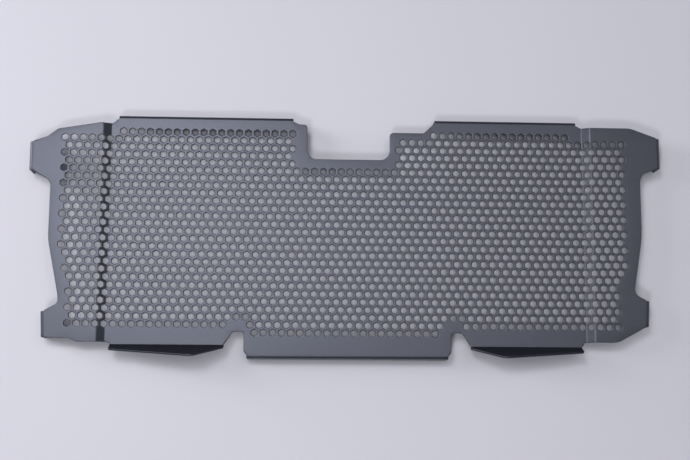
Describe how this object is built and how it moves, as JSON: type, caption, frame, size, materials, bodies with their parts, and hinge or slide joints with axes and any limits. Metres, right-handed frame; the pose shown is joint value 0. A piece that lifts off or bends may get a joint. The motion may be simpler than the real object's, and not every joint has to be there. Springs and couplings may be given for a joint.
{
  "type": "motorcycle radiator guard",
  "caption": "Perforated radiator guard folded from one sheet, with joggled side wings, ears, flanges along its edges, a notch in the top edge and fins below.",
  "frame": {"origin": "on the floor under the middle of the guard's box, with the guard lying on the edges of its flanges", "axes": "+X along the rows of holes towards the right side as seen from the front, +Y towards the edge with the notch, +Z out of the front face"},
  "size_m": [0.462, 0.1764, 0.0316],
  "materials": {
    "powder_coat": "satin powder coat, dark anthracite"
  },
  "bodies": {
    "root": {"guard_sheet": "powder_coat"}
  },
  "joints": []
}
